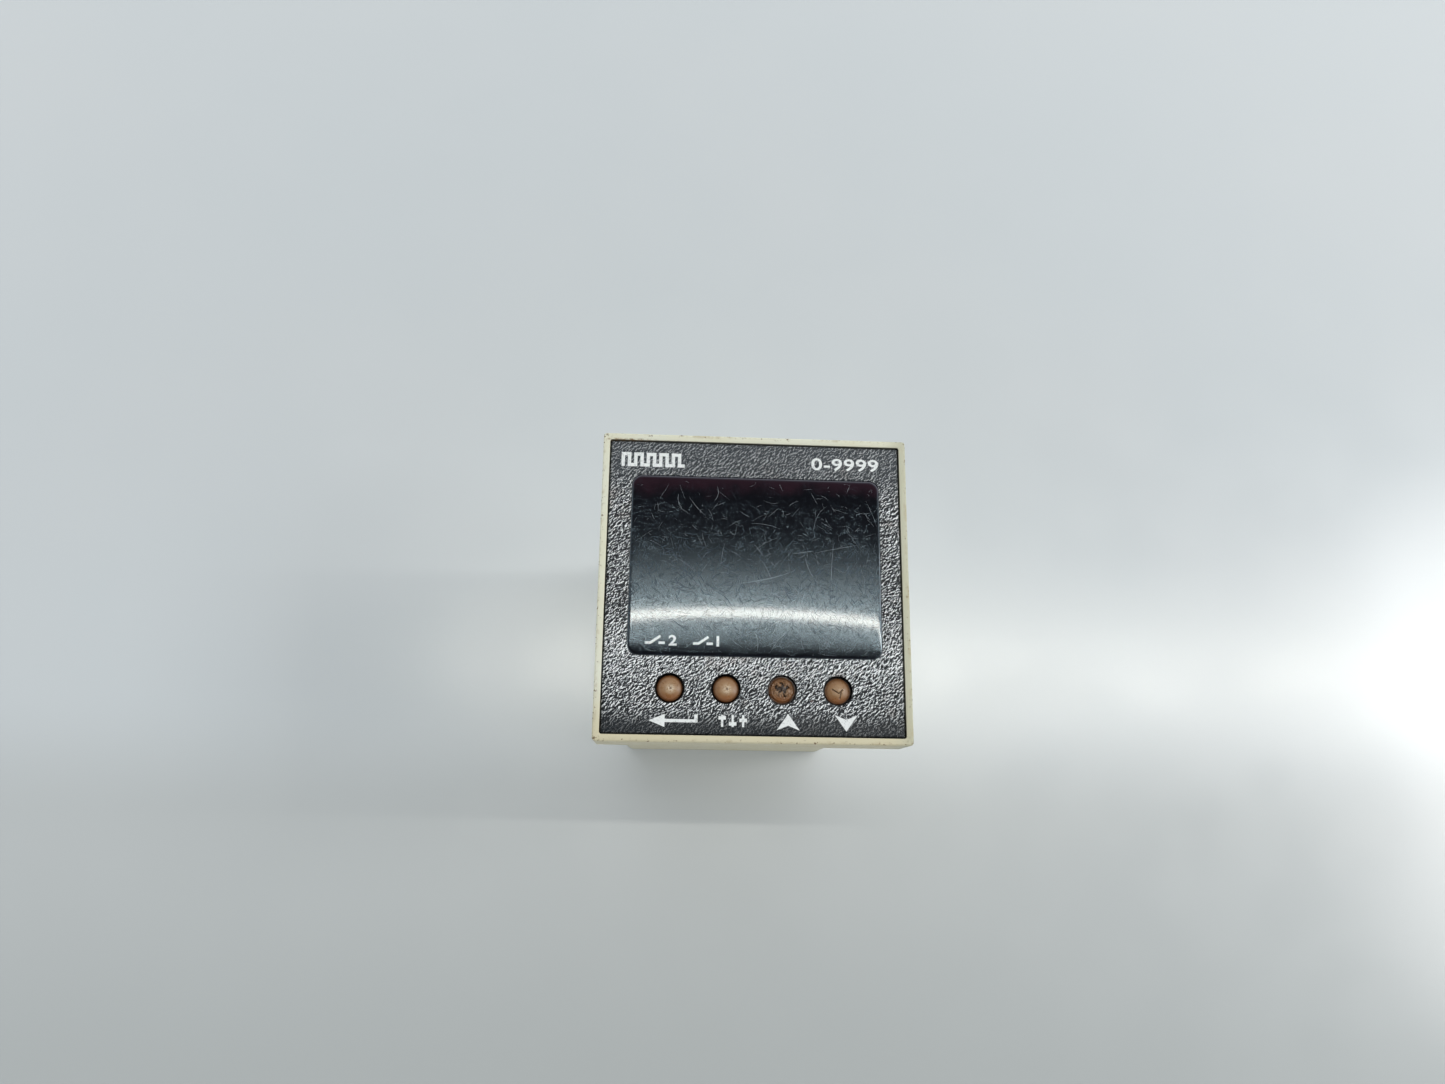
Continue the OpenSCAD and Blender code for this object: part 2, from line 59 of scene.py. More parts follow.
CASE_LOW, CASE_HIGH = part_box("case_shell")
PLATE_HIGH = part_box("front_plate")[1]
LENS_LOW, LENS_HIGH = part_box("display_window")
REAR_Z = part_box("rear_plate")[0].z
FACE_Z = CASE_HIGH.z
PLATE_Z = PLATE_HIGH.z
KEYS = ("enter", "set", "up", "down")
KEY_CENTRES = {}
for key in KEYS:
    key_low, key_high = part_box(key + "_button")
    KEY_CENTRES[key] = (key_low + key_high) / 2
KEY_Y = KEY_CENTRES["enter"].y
KEY_LOW, KEY_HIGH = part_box("enter_button")
CAP_FLANGE = 1.0 * MM
CAP_R = (KEY_HIGH.x - KEY_LOW.x) / 2 - CAP_FLANGE
CAP_CROWN = 1.05 * MM
CAP_TOP = KEY_HIGH.z
# Half the width of the pocket that the front plate lies in
POCKET = PLATE_HIGH.x + 0.25 * MM


# ---------------------------------------------------------------- camera, floor and light

def make_camera():
    """The photograph's viewpoint: almost straight down, leaning towards the lower edge of the face."""
    place = Vector((-0.02148, -0.05215, 0.35337))
    target = Vector((-0.00759, 0.00998, FACE_Z))
    roll = math.radians(0.707)
    ahead = (target - place).normalized()
    right = ahead.cross(Vector((0, 1, 0))).normalized()
    up = right.cross(ahead)
    data = bpy.data.cameras.new("camera")
    data.sensor_width = 36
    data.lens = 26.98
    data.clip_start = 0.01
    camera = bpy.data.objects.new("camera", data)
    bpy.context.collection.objects.link(camera)
    turn = Matrix((right, up, -ahead)).transposed().to_4x4()
    camera.matrix_world = Matrix.Translation(place) @ turn @ Matrix.Rotation(roll, 4, "Z")
    bpy.context.scene.camera = camera


def make_light(name, place, target, size, watts, colour):
    data = bpy.data.lights.new(name, "AREA")
    data.shape = "RECTANGLE"
    data.size, data.size_y = size
    data.energy = watts
    data.color = colour
    light = bpy.data.objects.new(name, data)
    bpy.context.collection.objects.link(light)
    light.location = place
    light.rotation_euler = (Vector(target) - Vector(place)).to_track_quat("-Z", "Y").to_euler()
    return light


def make_lights():
    """One long ceiling tube whose image lies across the window and the floor, and light from low right."""
    height, left, right, width = 2.2, -0.51, 3.6, 0.030
    middle = ((left + right) / 2, 0.307, FACE_Z + height)
    size = (right - left, width)
    tube = make_light("ceiling_tube", middle, (0, 0, 0), size, 19.0, (1.0, 0.975, 0.89))
    tube.rotation_euler = (0, 0, math.radians(-0.6))
    make_light("low_right", (1.9, 0.10, 1.85), (0, 0, 0.05), (1.1, 0.6), 14.0, (1.0, 0.99, 0.97))


def make_world():
    """A pale room: bright towards the walls, dim overhead, with a glow on the ceiling beside the tube."""
    world = bpy.data.worlds.new("room")
    bpy.context.scene.world = world
    g = Graph(world)
    axes = g.new("SeparateXYZ")
    g.link(g.new("TexCoord").outputs["Generated"], axes.inputs[0])
    across, up = axes.outputs["Y"], axes.outputs["Z"]
    wall = g.ramp(up, 0.50, 0.93, 1.45, 0.04)
    slope = g.math("DIVIDE", across, up)
    glow = g.both(g.ramp(slope, 0.14, 0.28, 0.75, 0.0), g.ramp(slope, 0.09, 0.14))
    level = g.math("ADD", wall, g.both(glow, g.ramp(up, 0.8, 0.93)))
    level = g.both(level, g.ramp(across, -0.7, 0.1, 0.6, 1.0))
    tint = g.new("Mix")
    tint.data_type = "RGBA"
    tint.inputs["A"].default_value = (0.80, 0.92, 1.0, 1)
    tint.inputs["B"].default_value = (0.95, 0.985, 1.0, 1)
    g.link(wall, tint.inputs["Factor"])
    shade = g.new("Background")
    g.link(tint.outputs["Result"], shade.inputs["Color"])
    g.link(level, shade.inputs["Strength"])
    g.link(shade.outputs[0], g.new("OutputWorld").inputs[0])


# ---------------------------------------------------------------- materials

class Graph:
    """The shader nodes of one material or world."""

    def __init__(self, owner):
        owner.use_nodes = True
        self.tree = owner.node_tree
        self.tree.nodes.clear()

    def new(self, kind):
        return self.tree.nodes.new("ShaderNode" + kind)

    def link(self, source, socket):
        """Joins an output to a socket, or writes a constant into it."""
        if isinstance(source, (int, float, tuple)):
            socket.default_value = source
        else:
            self.tree.links.new(source, socket)

    def ramp(self, value, low, high, to_low=0.0, to_high=1.0):
        """Goes smoothly from to_low, where value is low, to to_high, where it is high."""
        node = self.new("MapRange")
        node.interpolation_type = "SMOOTHSTEP"
        node.inputs["From Min"].default_value = low
        node.inputs["From Max"].default_value = high
        node.inputs["To Min"].default_value = to_low
        node.inputs["To Max"].default_value = to_high
        self.link(value, node.inputs["Value"])
        return node.outputs["Result"]

    def math(self, operation, a, b=0.0):
        node = self.new("Math")
        node.operation = operation
        self.link(a, node.inputs[0])
        self.link(b, node.inputs[1])
        return node.outputs[0]

    def both(self, *values):
        """The product of the values: strong only where all of them are."""
        product = values[0]
        for value in values[1:]:
            product = self.math("MULTIPLY", product, value)
        return product


class Finish(Graph):
    """A small builder for one procedural material, on object coordinates in metres."""

    def __init__(self, name, colour, roughness=0.5, metallic=0.0, specular=0.5, coat=0.0, coat_rough=0.05):
        self.material = bpy.data.materials.new(name)
        super().__init__(self.material)
        self.shader = self.new("BsdfPrincipled")
        self.link(self.shader.outputs[0], self.new("OutputMaterial").inputs[0])
        self.coord = self.new("TexCoord").outputs["Object"]
        self.colour = (*colour, 1)
        self.height = None
        self.shader.inputs["Roughness"].default_value = roughness
        self.shader.inputs["Metallic"].default_value = metallic
        self.shader.inputs["Specular IOR Level"].default_value = specular
        self.shader.inputs["Coat Weight"].default_value = coat
        self.shader.inputs["Coat Roughness"].default_value = coat_rough

    def place(self, offset=(0, 0, 0), stretch=(1, 1, 1), turn=0.0):
        """Object coordinates moved by -offset, turned about Z, then drawn out along the turned axes."""
        node = self.new("Mapping")
        node.vector_type = "TEXTURE"
        node.inputs["Location"].default_value = offset
        node.inputs["Rotation"].default_value = (0, 0, math.radians(turn))
        node.inputs["Scale"].default_value = stretch
        self.link(self.coord, node.inputs["Vector"])
        return node.outputs[0]

    def noise(self, size, detail=2.0, rough=0.5, where=None, distortion=0.0):
        node = self.new("TexNoise")
        node.inputs["Scale"].default_value = 1 / size
        node.inputs["Detail"].default_value = detail
        node.inputs["Roughness"].default_value = rough
        node.inputs["Distortion"].default_value = distortion
        self.link(where or self.coord, node.inputs["Vector"])
        return node.outputs["Fac"]

    def cells(self, size, feature="F1", randomness=1.0):
        node = self.new("TexVoronoi")
        node.feature = feature
        node.inputs["Scale"].default_value = 1 / size
        node.inputs["Randomness"].default_value = randomness
        self.link(self.coord, node.inputs["Vector"])
        return node.outputs["Distance"]

    def axis(self, name):
        node = self.new("SeparateXYZ")
        self.link(self.coord, node.inputs[0])
        return node.outputs[name]

    def off_line(self, name, place):
        """Distance from a place along one axis."""
        return self.math("ABSOLUTE", self.math("SUBTRACT", self.axis(name), place))

    def attribute(self, name):
        node = self.new("Attribute")
        node.attribute_name = name
        return node.outputs["Fac"]

    def distance(self, point):
        node = self.new("VectorMath")
        node.operation = "DISTANCE"
        node.inputs[1].default_value = point
        self.link(self.coord, node.inputs[0])
        return node.outputs["Value"]

    def radius(self, centre):
        """Distance from a line through centre along Z."""
        shift = self.new("VectorMath")
        shift.operation = "SUBTRACT"
        shift.inputs[1].default_value = centre
        self.link(self.coord, shift.inputs[0])
        flat = self.new("VectorMath")
        flat.operation = "MULTIPLY"
        flat.inputs[1].default_value = (1, 1, 0)
        self.link(shift.outputs[0], flat.inputs[0])
        size = self.new("VectorMath")
        size.operation = "LENGTH"
        self.link(flat.outputs[0], size.inputs[0])
        return size.outputs["Value"]

    def blend(self, factor, colour):
        """Lays colour over what is there, as strongly as factor says."""
        node = self.new("Mix")
        node.data_type = "RGBA"
        self.link(factor, node.inputs["Factor"])
        self.link(self.colour, node.inputs["A"])
        self.link((*colour, 1), node.inputs["B"])
        self.colour = node.outputs["Result"]

    def raise_by(self, value, depth):
        """Adds value times depth, in metres, to the surface's bump height."""
        step = self.math("MULTIPLY", value, depth / MM)
        self.height = step if self.height is None else self.math("ADD", self.height, step)

    def rough(self, value):
        self.link(value, self.shader.inputs["Roughness"])

    def done(self):
        """Joins the colour and the bump height to the shader, and gives the material back."""
        self.link(self.colour, self.shader.inputs["Base Color"])
        if self.height is not None:
            bump = self.new("Bump")
            bump.inputs["Distance"].default_value = MM
            bump.inputs["Strength"].default_value = 1.0
            self.link(self.height, bump.inputs["Height"])
            self.link(bump.outputs[0], self.shader.inputs["Normal"])
        return self.material


def case_finish():
    """Aged cream plastic: slow yellowing, painted shade on its near side, darker and yellower towards its
    right edge, dark nicks, smudges, grime at its edges and corners, and painted shade in the plate's pocket.
    """
    f = Finish("case_plastic", (0.69, 0.695, 0.585), 0.46, specular=0.4)
    f.blend(f.ramp(f.noise(16 * MM, 3), 0.35, 0.75, 0, 0.65), (0.67, 0.64, 0.46))
    f.blend(f.ramp(f.noise(2.5 * MM, 4, 0.6), 0.52, 0.8, 0, 0.4), (0.60, 0.555, 0.40))
    # Painted shade: the near side of the bezel, towards -Y, is made darker and yellower.
    near_side_shade = f.ramp(f.axis("Y"), CASE_LOW.y + 16 * MM, CASE_LOW.y + 0.5 * MM, 0, 0.75)
    f.blend(near_side_shade, (0.566, 0.498, 0.325))
    # Darker and yellower towards the right edge.
    right_side = f.ramp(f.axis("X"), CASE_HIGH.x - 6 * MM, CASE_HIGH.x - 0.5 * MM, 0, 0.75)
    f.blend(right_side, (0.47, 0.46, 0.34))
    nicks = f.ramp(f.noise(0.6 * MM, 2, 0.5), 0.72, 0.76)
    f.blend(f.both(nicks, f.ramp(f.noise(9 * MM, 2), 0.54, 0.66)), (0.12, 0.075, 0.04))
    smudge = f.ramp(f.noise(1.8 * MM, 5, 0.7, distortion=1.5), 0.64, 0.74)
    f.blend(f.both(smudge, f.ramp(f.noise(14 * MM, 1), 0.56, 0.7), 0.55), (0.26, 0.19, 0.11))
    worn = f.ramp(f.noise(1.4 * MM, 4, 0.7), 0.54, 0.66, 0, 0.8)
    f.blend(f.both(f.attribute("edge"), worn), (0.42, 0.34, 0.20))
    rim_dirt_and_pocket_shade(f)
    soil_seam(f)
    f.raise_by(f.noise(0.5 * MM, 3, 0.6), 0.006 * MM)
    f.raise_by(f.noise(4 * MM, 2), 0.02 * MM)
    f.rough(f.ramp(f.noise(2.2 * MM, 4), 0.3, 0.7, 0.36, 0.56))
    return f.done()


def rim_dirt_and_pocket_shade(f):
    """Dirt at the bezel's four corners and along its lip, and painted shade that makes the wall of the
    plate's pocket nearly black.
    """
    for x in (-1, 1):
        for y in (-1, 1):
            corner = (x * CASE_HIGH.x, y * CASE_HIGH.y, FACE_Z)
            near = f.ramp(f.distance(corner), 0.4 * MM, 2.6 * MM, 1, 0)
            f.blend(f.both(near, f.ramp(f.noise(0.8 * MM, 3, 0.7), 0.5, 0.6)), (0.12, 0.075, 0.03))
    reach = f.math("MAXIMUM", f.off_line("X", 0.0), f.off_line("Y", 0.0))
    height = f.axis("Z")
    lip = f.both(f.ramp(reach, CASE_HIGH.x - 1.1 * MM, CASE_HIGH.x - 0.3 * MM),
                 f.ramp(height, FACE_Z - 2.2 * MM, FACE_Z - 0.8 * MM))
    f.blend(f.both(lip, f.ramp(f.noise(0.75 * MM, 4, 0.65), 0.60, 0.66)), (0.14, 0.085, 0.04))
    f.blend(f.both(lip, f.ramp(f.noise(3.5 * MM, 3, 0.6), 0.52, 0.66, 0, 0.5)), (0.40, 0.33, 0.20))
    # Painted shade: the wall of the pocket that the plate lies in is made nearly black.
    pocket_shade = f.both(f.ramp(reach, POCKET - 0.05 * MM, POCKET + 0.12 * MM, 1, 0),
                    f.ramp(height, FACE_Z - 0.5 * MM, FACE_Z - 0.12 * MM, 1, 0),
                    f.ramp(height, FACE_Z - 9 * MM, FACE_Z - 7 * MM))
    f.blend(pocket_shade, (0.02, 0.016, 0.012))


def soil_seam(f):
    """A short brown line of dirt near the left end of the bezel's upper rim."""
    along = f.ramp(f.off_line("X", CASE_LOW.x + 6 * MM), 3 * MM, 8 * MM, 1, 0)
    dirt = f.both(f.ramp(f.off_line("Y", CASE_HIGH.y - 1.5 * MM), 0.05 * MM, 0.35 * MM, 1, 0), along)
    f.blend(f.both(dirt, f.ramp(f.noise(0.9 * MM, 3, 0.7), 0.42, 0.6)), (0.22, 0.13, 0.05))


# Nicks and stains round the two right-hand keys: x, y and size in millimetres, and colour
PLATE_SPOTS = (
    (13.4, -24.8, 0.45, (0.008, 0.006, 0.006)),
    (13.1, -26.4, 0.50, (0.10, 0.035, 0.02)),
    (9.9, -30.2, 0.50, (0.012, 0.008, 0.006)),
    (22.9, -20.4, 0.35, (0.5, 0.48, 0.44)),
    (23.4, -25.6, 0.40, (0.42, 0.41, 0.40)),
)
GRAIN = 0.46 * MM
# The step across the grain from which its lit flanks are found
LIT_SIDE = (-0.10 * MM, 0.11 * MM, 0)


def plate_finish():
    """Charcoal moulded plate with a fine, glinting, leather-like grain that runs to the upper right, with
    painted highlights and painted shade on the grain, and painted shade near its edges and down its walls.
    """
    f = Finish("plate_plastic", (0.060, 0.068, 0.076), 0.30, specular=0.36)
    along = {"stretch": (1.45, 1, 1), "turn": 43}
    grain = f.noise(GRAIN, 2.0, 0.55, f.place(**along), distortion=0.4)
    lit = plate_light(f, grain, f.noise(GRAIN, 2.0, 0.55, f.place(LIT_SIDE, **along), distortion=0.4))
    # Painted highlights and painted shade on the grain, warmer in patches where it is lit.
    f.blend(f.ramp(lit, 0.02, 0.065, 0, 0.95), (0.22, 0.245, 0.265))
    f.blend(f.ramp(lit, 0.065, 0.10), (0.88, 0.90, 0.91))
    f.blend(f.ramp(lit, -0.01, 0.03, 1, 0), (0.001, 0.002, 0.004))
    warm = f.ramp(f.noise(7 * MM, 3, 0.6), 0.56, 0.72, 0, 0.4)
    f.blend(f.both(warm, f.ramp(lit, -0.01, 0.08)), (0.24, 0.165, 0.125))
    # Painted shade: the plate is darker, bluer and flatter towards its top edge, and nearly black along its
    # bottom edge.
    top_shade = f.ramp(f.axis("Y"), CASE_HIGH.y - 18 * MM, CASE_HIGH.y - 6 * MM, 0, 0.62)
    f.blend(top_shade, (0.042, 0.050, 0.060))
    shade = f.ramp(f.axis("Y"), CASE_LOW.y + 8.5 * MM, CASE_LOW.y + 3 * MM, 0, 0.88)
    f.blend(shade, (0.006, 0.009, 0.013))
    for x, y, size, colour in PLATE_SPOTS:
        spot = f.distance((x * MM, y * MM, PLATE_Z))
        spot = f.math("ADD", spot, f.both(f.noise(0.5 * MM, 2), 0.5 * MM))
        f.blend(f.ramp(spot, 0.35 * size * MM, (size + 0.2) * MM, 0.9, 0), colour)
    # Painted shade: the plate's walls below its face, round its holes and its edges, are made nearly black.
    f.blend(f.ramp(f.axis("Z"), PLATE_Z - 0.12 * MM, PLATE_Z - 0.35 * MM), (0.006, 0.006, 0.007))
    f.raise_by(grain, 0.20 * MM)
    f.rough(f.ramp(grain, 0.4, 0.6, 0.38, 0.24))
    return f.done()


def plate_light(f, grain, shifted):
    """Painted light on the grain: how bright each place looks, with painted highlights on its lit flanks and
    ridges and a painted glare below the window.
    """
    flanks = f.both(f.math("SUBTRACT", grain, shifted), 0.8)
    ridges = f.both(f.math("SUBTRACT", grain, 0.5), 0.45)
    glare = f.both(f.ramp(f.axis("Y"), KEY_Y - 1 * MM, LENS_LOW.y - 1 * MM),
                   f.ramp(f.axis("Y"), LENS_LOW.y + 3 * MM, LENS_LOW.y + 12 * MM, 0.035, 0))
    return f.math("ADD", f.math("ADD", flanks, ridges), glare)


HAZE_ANGLES = (8, 31, 57, 84, 112, 139, 163)


def window_haze(f):
    """Fine scratches in seven directions, in patches, that thin out towards the upper and lower edges."""
    haze = None
    for k, angle in enumerate(HAZE_ANGLES):
        lines = f.noise(0.13 * MM, 1.0, 0.5, f.place((0, 0, 0.003 * k), (1, 22, 1), angle))
        patches = f.noise(5 * MM, 2, 0.5, f.place((0.01 * k, 0, 0)))
        line = f.both(f.ramp(lines, 0.655, 0.72), f.ramp(patches, 0.42, 0.62))
        haze = line if haze is None else f.math("MAXIMUM", haze, line)
    upper = f.ramp(f.axis("Y"), LENS_HIGH.y - 2 * MM, LENS_HIGH.y - 26 * MM, 0.2, 1.2)
    lower = f.ramp(f.axis("Y"), LENS_LOW.y + 3 * MM, LENS_LOW.y + 10 * MM, 0.4, 1)
    return f.both(haze, upper, lower)


def window_finish():
    """Smoked dark red acrylic with a haze of hairline scratches, smoothest near its two long edges, with a
    painted plum glow along its top edge.
    """
    f = Finish("window_plastic", (0.003, 0.0025, 0.004), 0.175, specular=0.85, coat=0.5, coat_rough=0.06)
    f.shader.inputs["Specular Tint"].default_value = (0.66, 0.86, 1.0, 1)
    height = f.axis("Y")
    # Painted light: a plum glow along the top edge, where the rolled edge shows the red of the acrylic.
    cloud = f.both(f.math("SUBTRACT", f.noise(8 * MM, 3, 0.6), 0.5), 9 * MM)
    top = f.ramp(f.math("ADD", height, cloud), LENS_HIGH.y - 6.0 * MM, LENS_HIGH.y - 1.6 * MM)
    f.blend(top, (0.021, 0.008, 0.013))
    haze = window_haze(f)
    f.blend(f.both(haze, 0.10), (0.25, 0.37, 0.50))
    upper = f.ramp(height, LENS_LOW.y + 17 * MM, LENS_HIGH.y - 8 * MM, 0.175, 0.09)
    lower = f.ramp(height, LENS_LOW.y + 2 * MM, LENS_LOW.y + 7.5 * MM, 0.10, 0.175)
    f.rough(f.math("ADD", f.math("MINIMUM", upper, lower), f.both(haze, 0.28)))
    f.raise_by(haze, -0.010 * MM)
    f.raise_by(f.noise(0.3 * MM, 3, 0.7), 0.0010 * MM)
    return f.done()


def scratch_finish():
    """The pale bottom of a hairline scratch, faint enough to let the window through."""
    f = Finish("scratch", (0.50, 0.56, 0.60), 0.5)
    f.blend(f.ramp(f.noise(0.5 * MM, 2), 0.4, 0.7), (0.22, 0.25, 0.28))
    f.shader.inputs["Alpha"].default_value = 0.55
    return f.done()


def print_finish():
    """White screen print, chipped and greyed."""
    f = Finish("white_print", (0.78, 0.80, 0.80), 0.55, specular=0.4)
    f.blend(f.ramp(f.noise(0.45 * MM, 3, 0.6), 0.52, 0.72, 0, 0.8), (0.40, 0.42, 0.43))
    f.blend(f.ramp(f.noise(0.25 * MM, 2, 0.6), 0.68, 0.74), (0.12, 0.12, 0.13))
    f.raise_by(f.noise(0.4 * MM, 2), 0.03 * MM)
    return f.done()


def button_finish(key):
    """Worn brown plastic, with a painted highlight that makes it palest in the middle, painted shade that
    makes it darker and more orange down its lower side, and the side of the cap painted nearly black as
    shade.
    """
    centre = KEY_CENTRES[key]
    top = Vector((centre.x, centre.y, CAP_TOP))
    pit = top + Vector((0.25, 0, 0)) * MM
    f = Finish("button_plastic_" + key, (0.34, 0.215, 0.120), 0.40, specular=0.5)
    r = f.radius(top)
    # Painted highlight and shade: paler in the middle of the dome, darker brown further out.
    f.blend(f.ramp(r, 0.30 * CAP_R, 0.64 * CAP_R), (0.27, 0.140, 0.058))
    f.blend(f.ramp(f.noise(1.1 * MM, 4, 0.6), 0.42, 0.7, 0, 0.6), (0.20, 0.100, 0.042))
    # Painted shade: darker and more orange down the lower side, darker still round the flank, and nearly
    # black down the side of the cap.
    f.blend(f.ramp(f.axis("Y"), top.y - 0.6 * MM, top.y - 2.6 * MM, 0, 0.6), (0.27, 0.085, 0.018))
    f.blend(f.ramp(r, 0.70 * CAP_R, 0.86 * CAP_R, 0, 0.8), (0.15, 0.055, 0.016))
    f.blend(f.ramp(r, 0.85 * CAP_R, 0.96 * CAP_R), (0.006, 0.003, 0.002))
    if key in ("enter", "set"):
        worn = f.ramp(f.radius(top + Vector((0.2, -0.1, 0)) * MM), 0.1 * MM, 1.5 * MM, 1, 0)
        f.blend(f.both(worn, f.ramp(f.noise(0.32 * MM, 3), 0.36, 0.60)), (0.60, 0.48, 0.35))
        f.blend(f.ramp(f.radius(pit), 0.12 * MM, 0.34 * MM, 0.8, 0), (0.12, 0.065, 0.035))
    if key == "up":
        f.blend(0.28, (0.10, 0.03, 0.005))
    # Darker where the cap is damaged: its pit, gouge and cracks.
    f.blend(f.attribute("damage_dark"), (0.016, 0.007, 0.004))
    f.raise_by(f.noise(0.22 * MM, 3, 0.6), 0.018 * MM)
    f.rough(f.ramp(f.noise(0.9 * MM, 3), 0.3, 0.7, 0.24, 0.42))
    return f.done()


def plastic(name, colour, worn, roughness=0.5, grain=0.5, coat=0.0):
    """Moulded plastic: a slow colour drift, specks, and worn edges. The grain is in millimetres."""
    f = Finish(name, colour, roughness, coat=coat)
    f.blend(f.ramp(f.noise(7 * MM, 3), 0.4, 0.72, 0, 0.5), worn)
    f.blend(f.both(f.attribute("edge"), 0.5), worn)
    f.blend(f.ramp(f.noise(0.5 * MM, 2), 0.70, 0.76, 0, 0.5), worn)
    f.raise_by(f.noise(grain * MM, 3, 0.6), 0.012 * MM)
    f.rough(f.ramp(f.noise(3 * MM, 3), 0.3, 0.7, roughness * 0.8, min(1, roughness * 1.2)))
    return f.done()


def metal(name, colour, dull, roughness=0.35, brushed=(1, 1, 1)):
    """Plated or bare metal with fine tool lines, tarnish and dull edges."""
    f = Finish(name, colour, roughness, metallic=1.0)
    f.blend(f.ramp(f.noise(2.5 * MM, 4, 0.6), 0.42, 0.7, 0, 0.7), dull)
    f.blend(f.ramp(f.noise(0.4 * MM, 2), 0.66, 0.74, 0, 0.6), tuple(c * 0.35 for c in dull))
    f.raise_by(f.noise(0.25 * MM, 2, 0.5, f.place(stretch=brushed)), 0.01 * MM)
    f.rough(f.ramp(f.noise(1.5 * MM, 3), 0.3, 0.7, roughness * 0.75, roughness * 1.35))
    return f.done()


def board_finish():
    """Green solder mask with copper tracks under it and tinned pads."""
    f = Finish("circuit_board", (0.012, 0.085, 0.035), 0.35, specular=0.6)
    tracks = f.ramp(f.cells(3.2 * MM, "DISTANCE_TO_EDGE", randomness=0.15), 0.05, 0.09, 1, 0)
    f.blend(f.both(tracks, 0.8), (0.03, 0.17, 0.06))
    pads = f.ramp(f.cells(2.54 * MM, randomness=0.0), 0.17, 0.20, 1, 0)
    keep = f.ramp(f.noise(4 * MM, 1), 0.5, 0.52)
    f.blend(f.both(pads, keep), (0.55, 0.54, 0.50))
    f.raise_by(tracks, 0.03 * MM)
    f.rough(f.ramp(f.noise(2 * MM, 3), 0.3, 0.7, 0.25, 0.45))
    return f.done()


def glassy(name, colour, alpha):
    """Clear or tinted glass or resin, partly see-through."""
    f = Finish(name, colour, 0.08, specular=0.6)
    f.blend(f.ramp(f.noise(2 * MM, 3), 0.4, 0.7, 0, 0.5), tuple(c * 0.6 for c in colour))
    f.shader.inputs["Alpha"].default_value = alpha
    f.raise_by(f.noise(1 * MM, 2), 0.004 * MM)
    return f.done()


def floor_finish():
    """Pale laminate with a soft sheen, with painted shade that makes it greyer towards the viewer in two
    steps.
    """
    f = Finish("floor", (0.63, 0.665, 0.69), 0.22, specular=0.9)
    f.blend(f.ramp(f.noise(0.12, 2), 0.35, 0.7, 0, 0.5), (0.65, 0.675, 0.695))
    # Painted shade: greyer towards the viewer, in two steps.
    f.blend(f.ramp(f.axis("Y"), -0.015, -0.055, 0, 1), (0.55, 0.575, 0.585))
    f.blend(f.ramp(f.axis("Y"), -0.055, -0.14, 0, 1), (0.48, 0.505, 0.51))
    f.raise_by(f.noise(0.9 * MM, 2), 0.004 * MM)
    f.rough(f.ramp(f.noise(0.03, 2), 0.3, 0.7, 0.20, 0.24))
    return f.done()


# ---------------------------------------------------------------- mesh helpers

def new_object(name, mesh, material, slot, body="case", smooth=None):
    """A piece on a body; the slot is not used. Edges that turn by more than smooth degrees stay crisp."""
    obj = bpy.data.objects.new(name, mesh)
    bpy.context.collection.objects.link(obj)
    mesh.materials.clear()
    mesh.materials.append(material)
    for face in mesh.polygons:
        face.use_smooth = smooth is not None
    if smooth is not None:
        mark_sharp(mesh, smooth)
    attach(obj, body)
    return obj


def mark_sharp(mesh, degrees):
    """Edges that turn by more than this stay crisp under smooth shading."""
    bm = bmesh.new()
    bm.from_mesh(mesh)
    limit = math.radians(degrees)
    for edge in bm.edges:
        edge.smooth = edge.is_manifold and edge.calc_face_angle(4) < limit
    bm.to_mesh(mesh)
    bm.free()


def mesh_of(bm, name):
    """The finished mesh of a bmesh, with its faces turned outwards."""
    bmesh.ops.recalc_face_normals(bm, faces=bm.faces)
    mesh = bpy.data.meshes.new(name)
    bm.to_mesh(mesh)
    bm.free()
    return mesh


# Edges that turn by more than this many degrees are rounded off
CORNER = 28
# Vertices nearer to each other than this are merged
WELD = 1e-6


def soften(node, width, material, slot):
    """A copy of a CAD node with its sharp edges rounded off, which stands for the node."""
    bm = bmesh.new()
    bm.from_mesh(NODES[node].data)
    bmesh.ops.remove_doubles(bm, verts=bm.verts, dist=WELD)
    bmesh.ops.dissolve_limit(bm, angle_limit=math.radians(0.4), verts=bm.verts, edges=bm.edges)
    edge = bm.faces.layers.float.new("edge")
    sharp = [e for e in bm.edges if e.is_manifold and e.calc_face_angle(0) > math.radians(CORNER)]
    result = bmesh.ops.bevel(bm, geom=sharp, offset=width, offset_type="OFFSET", segments=2, profile=0.5,
                             affect="EDGES", clamp_overlap=True)
    for face in result["faces"]:
        face[edge] = 1.0
    bmesh.ops.remove_doubles(bm, verts=bm.verts, dist=WELD)
    bmesh.ops.dissolve_degenerate(bm, edges=bm.edges, dist=WELD)
    bmesh.ops.triangulate(bm, faces=[f for f in bm.faces if len(f.verts) > 4])
    mesh = bpy.data.meshes.new(node + "_looks")
    bm.to_mesh(mesh)
    bm.free()
    obj = new_object(node + "_looks", mesh, material, slot, smooth=35)
    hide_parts(node)


# ---------------------------------------------------------------- window

# How far the hidden lip stands out round the part of the window that shows
LENS_LIP = 0.9 * MM
# Half the width and height of the part that shows
LENS_HALF = ((LENS_HIGH.x - LENS_LOW.x) / 2 - LENS_LIP, (LENS_HIGH.y - LENS_LOW.y) / 2 - LENS_LIP)
LENS_X = (LENS_LOW.x + LENS_HIGH.x) / 2
LENS_Y = (LENS_LOW.y + LENS_HIGH.y) / 2
# Radius of its corners, and width of the band along its edge where it rolls off
LENS_R = 2.4 * MM
LENS_ROLL = 0.9 * MM
ARC_STEPS = 10
SIDE_STEPS = 24


